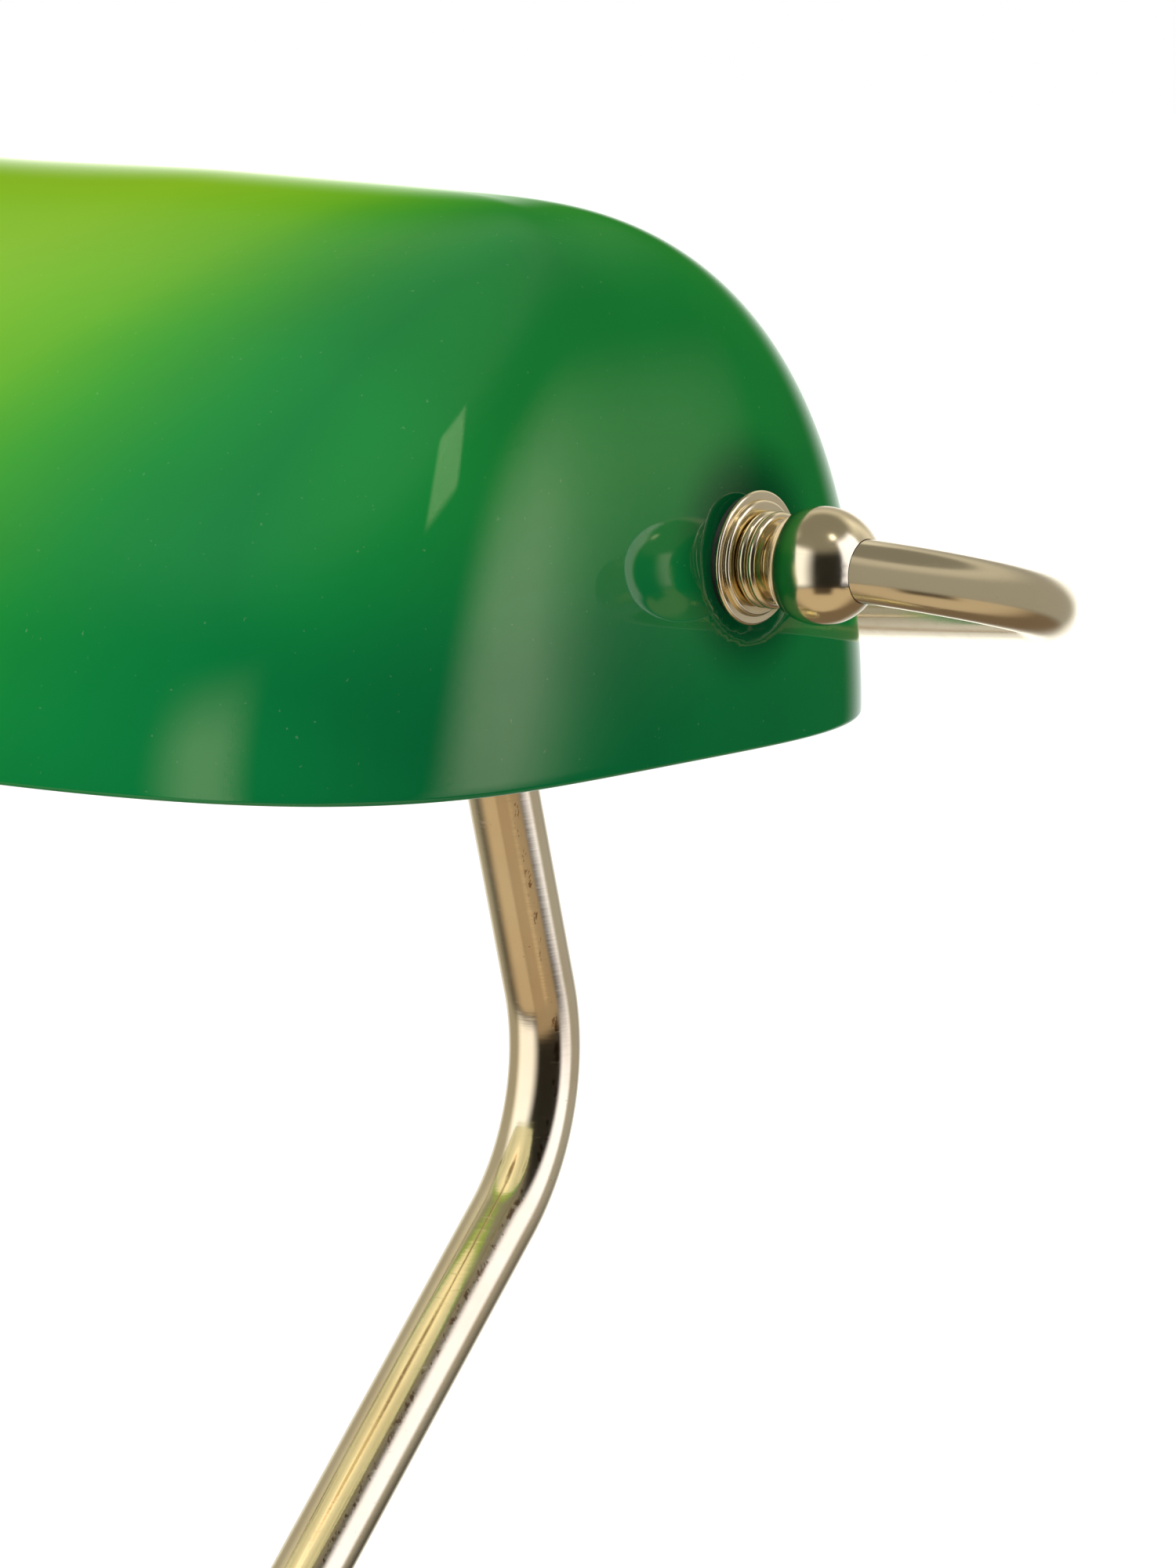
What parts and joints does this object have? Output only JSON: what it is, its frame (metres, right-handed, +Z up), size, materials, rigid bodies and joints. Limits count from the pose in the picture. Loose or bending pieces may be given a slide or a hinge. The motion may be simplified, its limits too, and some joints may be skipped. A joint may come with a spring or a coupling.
{
  "type": "banker desk lamp",
  "caption": "Desk lamp with a long green cased-glass shade that tilts on ball-ended pivots in a bent tube yoke, on a bent brass stem and a round weighted base.",
  "frame": {"origin": "centre of the base's underside, on the felt pad that rests on the desk", "axes": "+Z up, X along the shade and its pivot line, -Y towards the front of the desk, so the stem bends back towards +Y"},
  "size_m": [0.2854, 0.194, 0.3551],
  "materials": {
    "polished_brass": "polished and lacquered",
    "plain_brass": "drawn sheet, satin",
    "green_glass": "glossy, cased over a white inner layer",
    "frosted_glass": "frosted",
    "black_glass": "glossy",
    "solder": "dull",
    "white_ceramic": "glazed",
    "soft_washer": "matt",
    "steel": "zinc plated",
    "cast_iron": "rough, as cast",
    "felt": "pressed felt",
    "black_plastic": "matt"
  },
  "bodies": {
    "stand": {"arm_locknut": "polished_brass", "base_cover": "polished_brass", "base_pad": "felt", "base_plate": "steel", "base_plate_screws": "steel", "base_weight": "cast_iron", "bulb_cap": "plain_brass", "bulb_contact": "solder", "bulb_glass": "frosted_glass", "bulb_insulator": "black_glass", "contact_spring": "plain_brass", "cord_inlet_bushing": "black_plastic", "foot_collar_screw": "steel", "lampholder_arm": "polished_brass", "lampholder_body": "polished_brass", "lampholder_cap": "polished_brass", "lampholder_insert": "white_ceramic", "left_ball_knob": "polished_brass", "left_pivot_stud": "steel", "left_ribbed_collar": "polished_brass", "left_stepped_flange": "polished_brass", "left_stud_locknut": "steel", "left_stud_washer": "steel", "right_ball_knob": "polished_brass", "right_pivot_stud": "steel", "right_ribbed_collar": "polished_brass", "right_stepped_flange": "polished_brass", "right_stud_locknut": "steel", "right_stud_washer": "steel", "stem_foot_collar": "polished_brass", "stem_grub_screw": "steel", "stem_locknut": "steel", "stem_tube": "polished_brass", "stem_washer": "steel", "thread_sleeve": "plain_brass", "yoke_grub_screw": "steel", "yoke_hub": "polished_brass", "yoke_tube": "polished_brass"},
    "shade": {"glass_shade": "green_glass", "left_pivot_bush": "soft_washer", "right_pivot_bush": "soft_washer", "left_inner_soft_washer": "soft_washer", "right_inner_soft_washer": "soft_washer"}
  },
  "joints": [
    {"name": "shade_tilt", "type": "hinge", "parent": "stand", "child": "shade", "pos_m": [0, 0, 0.313], "axis": [1, 0, 0], "range_deg": [-6, 30]}
  ]
}
